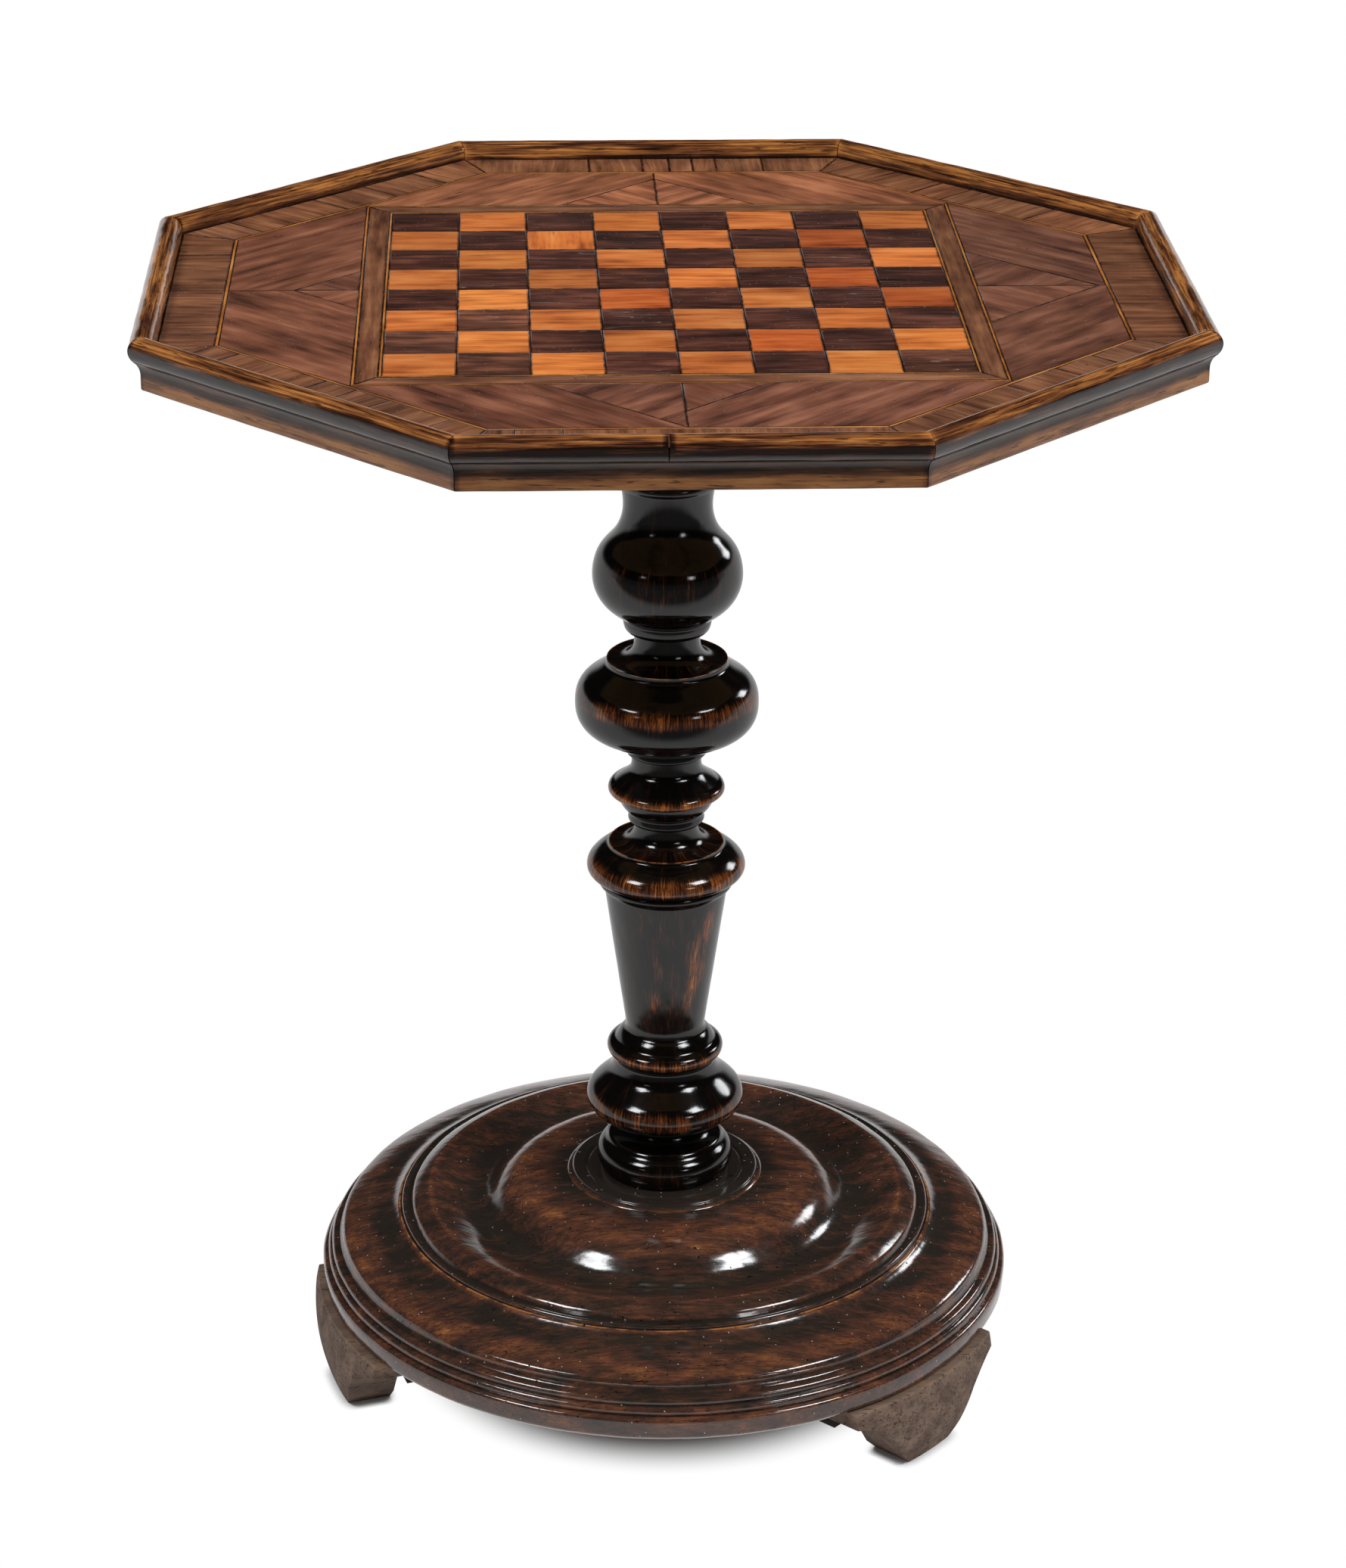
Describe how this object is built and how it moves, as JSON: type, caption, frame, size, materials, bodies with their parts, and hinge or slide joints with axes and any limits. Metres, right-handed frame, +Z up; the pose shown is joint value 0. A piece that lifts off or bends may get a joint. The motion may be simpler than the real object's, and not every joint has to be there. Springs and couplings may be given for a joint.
{
  "type": "parquetry game table",
  "caption": "Octagonal pedestal game table with a chessboard in parquetry, a raised rim bead, a turned column and a round stepped base on curved feet.",
  "frame": {"origin": "on the floor, under the axis of the column", "axes": "+Z up, -Y towards the player at the front, +X to that player's right"},
  "size_m": [0.61, 0.61, 0.71],
  "materials": {
    "pine": "sawn and planed softwood, darkened with age",
    "light_veneer": "orange-tan satinwood-coloured veneer, french polished",
    "dark_veneer": "rosewood veneer, french polished",
    "stringing_veneer": "light boxwood stringing, french polished",
    "walnut_veneer": "figured walnut veneer, french polished",
    "bead_walnut": "polished walnut moulding with darker streaks",
    "ebonised_wood": "turned wood, stained black and polished",
    "beech": "planed beech, unfinished",
    "stained_wood": "turned wood, stained very dark red brown and polished",
    "foot_wood": "stained wood, dull and worn",
    "glue_block_pine": "rough softwood, brown with old glue",
    "iron": "dull iron"
  },
  "bodies": {
    "root": {"core_boards": "pine", "light_squares": "light_veneer", "dark_squares": "dark_veneer", "board_inner_stringing": "stringing_veneer", "board_frame": "walnut_veneer", "board_outer_stringing": "stringing_veneer", "ground_panels": "walnut_veneer", "ground_wedges": "walnut_veneer", "octagon_stringing": "stringing_veneer", "crossbanding": "walnut_veneer", "rim_bead": "bead_walnut", "edge_moulding": "ebonised_wood", "column_block": "beech", "underside_bearer_left": "beech", "underside_bearer_right": "beech", "bearer_screws": "iron", "block_screws": "iron", "column": "ebonised_wood", "head_wedge": "beech", "foot_wedge": "beech", "base_collar": "ebonised_wood", "base_dome": "stained_wood", "base_plinth": "stained_wood", "foot_blocks": "glue_block_pine", "foot_screws": "iron", "dome_screws": "iron", "foot_back": "foot_wood", "foot_left": "foot_wood", "foot_right": "foot_wood"}
  },
  "joints": []
}
